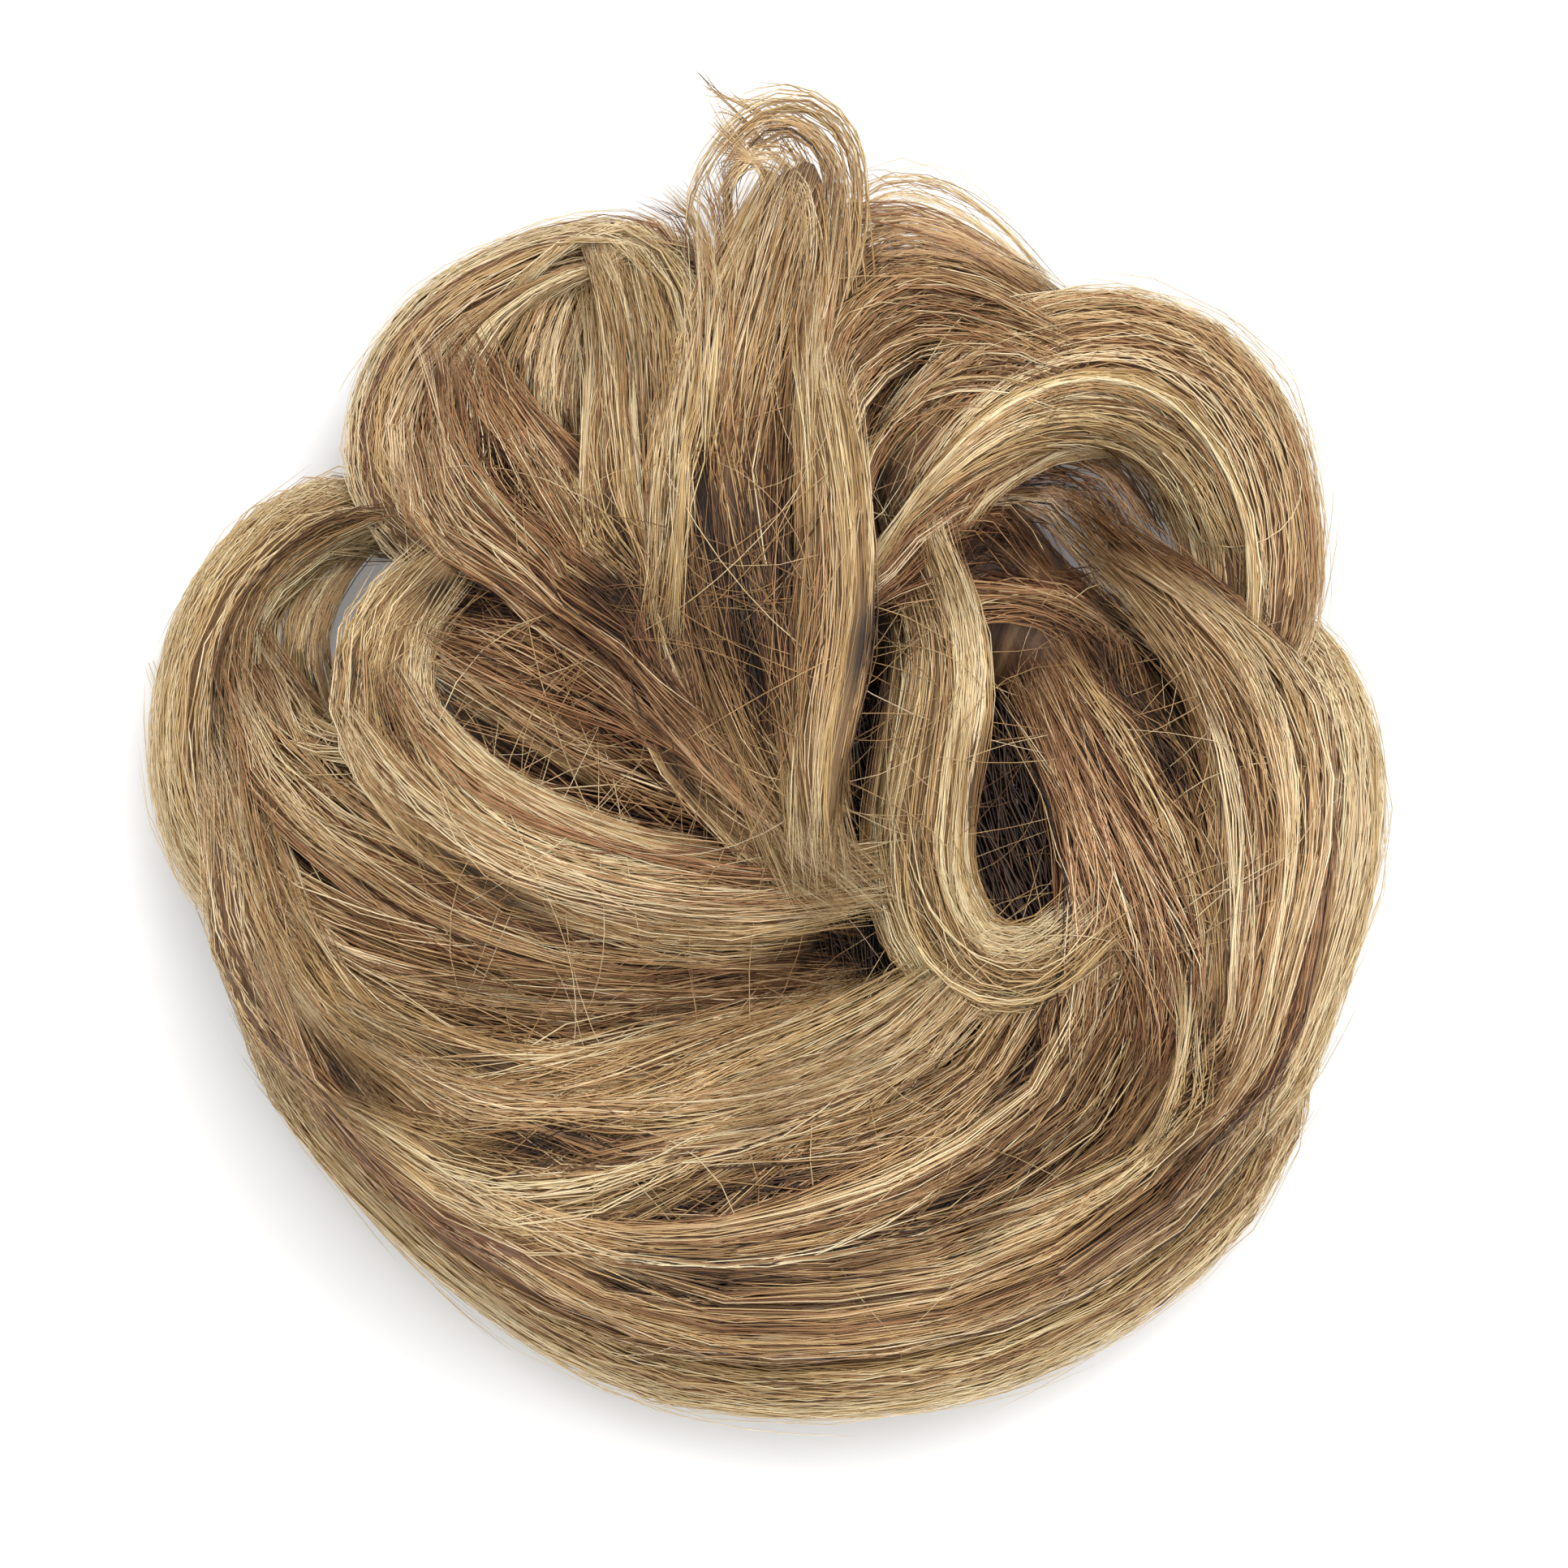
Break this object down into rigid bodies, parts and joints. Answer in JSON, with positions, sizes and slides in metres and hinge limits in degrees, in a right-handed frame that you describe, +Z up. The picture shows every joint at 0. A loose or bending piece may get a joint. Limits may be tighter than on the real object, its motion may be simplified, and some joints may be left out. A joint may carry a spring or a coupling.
{
  "type": "top knot hairpiece",
  "caption": "Messy-bun hairpiece of looped blonde locks on a ring of wefted hair with a stretch band; the open hollow underneath slips over the wearer's own knot.",
  "frame": {"origin": "under the middle of the whole outline, on the surface that the hairpiece lies on", "axes": "+Z up out of that surface, +Y towards the tuft at the top edge of the picture, +X to its right"},
  "size_m": [0.1518, 0.1624, 0.0639],
  "materials": {
    "blonde_hair": "satin fibre",
    "honey_hair": "satin fibre",
    "auburn_hair": "satin fibre",
    "brown_hair": "satin fibre",
    "stretch_band": "matte knit"
  },
  "bodies": {
    "root": {"elastic_band": "stretch_band", "hair_base": "brown_hair", "lower_rim_lock": "blonde_hair", "left_outer_curl": "blonde_hair", "right_outer_lock": "blonde_hair", "upper_back_lock": "honey_hair", "upper_right_curl": "honey_hair", "upper_left_curl": "honey_hair", "lower_left_lock": "honey_hair", "lower_outer_lock": "honey_hair", "lower_middle_lock": "auburn_hair", "lower_inner_lock": "blonde_hair", "left_inner_lock": "auburn_hair", "right_fan_lock": "auburn_hair", "right_inner_lock": "honey_hair", "crown_lock": "brown_hair", "upper_left_inner_lock": "auburn_hair", "sweep_lock": "blonde_hair", "tuft_loop": "blonde_hair", "front_fall_lock": "blonde_hair", "tuft_lock": "honey_hair", "centre_fall_lock": "blonde_hair", "knot_lock": "blonde_hair"}
  },
  "joints": []
}
